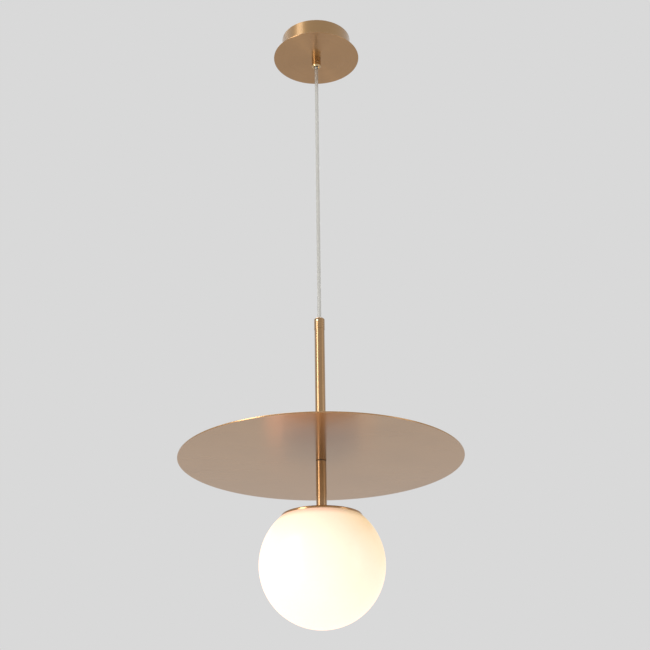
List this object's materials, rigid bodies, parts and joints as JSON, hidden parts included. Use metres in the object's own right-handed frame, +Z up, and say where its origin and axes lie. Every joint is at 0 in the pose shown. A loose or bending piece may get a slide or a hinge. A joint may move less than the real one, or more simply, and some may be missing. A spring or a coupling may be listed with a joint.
{
  "type": "pendant ceiling light",
  "caption": "Pendant light: round canopy, clear cord, thin stem through a flat round disc, and a glass globe hung under it. The globe and bulb come off downwards; the cord swings and shortens.",
  "frame": {"origin": "centre of the ceiling bracket's top face, on the ceiling plane", "axes": "+Z up out of the ceiling face, along the lamp's axis; -Y is the pictured front and +X its right"},
  "size_m": [0.35, 0.35, 0.8302],
  "materials": {
    "satin_brass": "satin, finely brushed",
    "grip_brass": "bright turned",
    "thread_brass": "plain pressed",
    "zinc_steel": "zinc plated",
    "spring_steel": "rolled",
    "opal_glass": "opal, satin etched, lit from inside",
    "diffuser": "opal, frosted",
    "clear_cord": "translucent smooth",
    "white_plastic": "moulded",
    "fibre": "matt",
    "lead_brown": "satin",
    "lead_blue": "satin"
  },
  "bodies": {
    "ceiling_canopy": {"ceiling_bracket": "zinc_steel", "canopy_cup": "satin_brass", "canopy_plate": "satin_brass", "canopy_screw_left": "grip_brass", "canopy_screw_right": "grip_brass", "canopy_cord_grip": "grip_brass", "canopy_grip_screw": "grip_brass", "canopy_nipple": "zinc_steel", "canopy_lock_washer": "zinc_steel", "canopy_nut": "zinc_steel", "terminal_block": "white_plastic", "terminal_screw_1": "thread_brass", "terminal_screw_2": "thread_brass", "terminal_screw_3": "thread_brass", "terminal_screw_4": "thread_brass", "canopy_lead_live": "lead_brown", "canopy_lead_neutral": "lead_blue", "cord_upper_end": "clear_cord"},
    "cord_bend": {"cord_bend": "clear_cord"},
    "hanging_cord": {"cord": "clear_cord"},
    "cord_end": {"cord_lower_end": "clear_cord"},
    "pendant": {"stem_cord_grip": "grip_brass", "stem_grip_screw": "grip_brass", "stem_top_nipple": "zinc_steel", "upper_stem": "satin_brass", "disc_washer_upper": "fibre", "disc": "satin_brass", "disc_washer_lower": "fibre", "disc_nipple": "zinc_steel", "lower_stem": "satin_brass", "cap_nipple": "zinc_steel", "globe_cap": "satin_brass", "spring_carrier": "zinc_steel", "globe_spring_1": "spring_steel", "globe_spring_2": "spring_steel", "globe_spring_3": "spring_steel", "spring_rivet_1": "zinc_steel", "spring_rivet_2": "zinc_steel", "spring_rivet_3": "zinc_steel", "cap_nut": "zinc_steel", "lampholder_cap": "white_plastic", "lampholder_body": "white_plastic", "lampholder_thread": "thread_brass", "lampholder_contact": "spring_steel", "stem_lead_live": "lead_brown", "stem_lead_neutral": "lead_blue"},
    "bulb": {"bulb_contact": "zinc_steel", "bulb_screw_cap": "thread_brass", "bulb_housing": "white_plastic", "bulb_led_board": "zinc_steel", "bulb_diffuser": "diffuser"},
    "globe": {"glass_globe": "opal_glass"}
  },
  "joints": [
    {"name": "swing_left_right", "type": "hinge", "parent": "ceiling_canopy", "child": "cord_bend", "pos_m": [0, 0, -0.046], "axis": [0, 1, 0], "range_deg": [-30, 30]},
    {"name": "swing_front_back", "type": "hinge", "parent": "cord_bend", "child": "hanging_cord", "pos_m": [0, 0, -0.046], "axis": [1, 0, 0], "range_deg": [-30, 30]},
    {"name": "height_adjust", "type": "slide", "parent": "hanging_cord", "child": "cord_end", "axis": [0, 0, 1], "range_m": [0, 0.25], "deforming": ["cord"]},
    {"name": "lamp_turn", "type": "hinge", "parent": "cord_end", "child": "pendant", "pos_m": [0, 0, -0.437], "axis": [0, 0, 1], "range_deg": [-180, 180]},
    {"name": "bulb_unscrew", "type": "slide", "parent": "pendant", "child": "bulb", "axis": [0, 0, -1], "range_m": [0, 0.02]},
    {"name": "globe_release", "type": "slide", "parent": "pendant", "child": "globe", "axis": [0, 0, -1], "range_m": [0, 0.11]}
  ]
}
